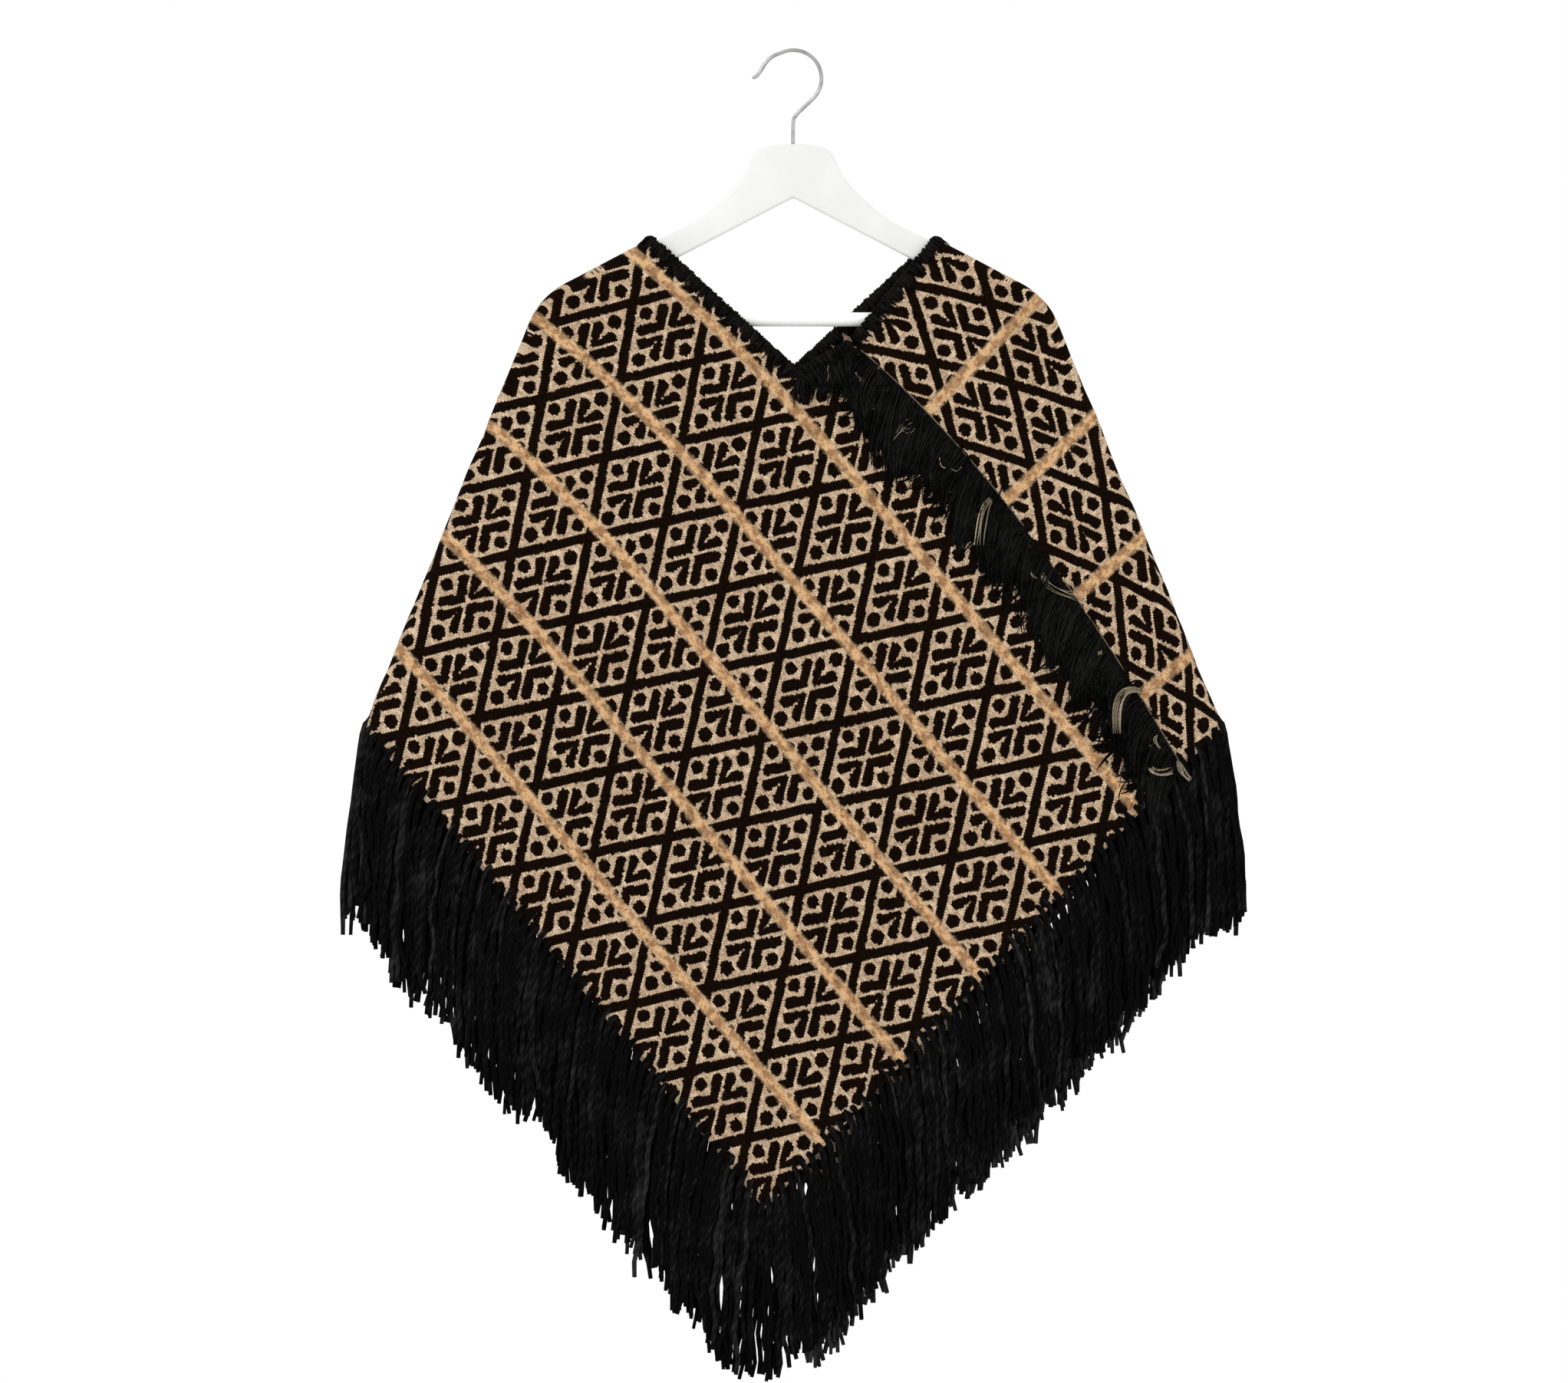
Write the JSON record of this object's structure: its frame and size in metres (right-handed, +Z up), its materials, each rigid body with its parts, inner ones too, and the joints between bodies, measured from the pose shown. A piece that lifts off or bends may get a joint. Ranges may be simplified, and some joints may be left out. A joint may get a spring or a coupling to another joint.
{
  "type": "quechquemitl on a clothes hanger",
  "caption": "Fringed quechquemitl of two woven wool bands with a V neck, hanging on a wooden clothes hanger with a wire hook.",
  "frame": {"origin": "inside top of the hanger's hook, where it bears on the rail or peg that holds it", "axes": "+Z up, the front faces -Y, +X to the right as the front is looked at"},
  "size_m": [0.7394, 0.1092, 1.1394],
  "materials": {
    "woven_wool": "matt wool in beige, black and camel, woven in a lozenge and flower pattern",
    "black_wool": "matt black wool yarn, overcast",
    "fringe_wool": "soft matt black wool yarn",
    "painted_wood": "white satin paint on wood",
    "hook_wire": "bright plated wire"
  },
  "bodies": {
    "root": {"panel_left": "woven_wool", "panel_right": "woven_wool", "neck_edging_left": "black_wool", "neck_edging_right": "black_wool", "hem_fringe_front_end": "fringe_wool", "hem_fringe_back_end": "fringe_wool", "hem_fringe_left_side": "fringe_wool", "hem_fringe_right_side": "fringe_wool", "seam_fringe_front": "fringe_wool", "seam_fringe_back": "fringe_wool", "hanger_yoke": "painted_wood", "hanger_bar": "painted_wood", "hanger_hook": "hook_wire"}
  },
  "joints": []
}
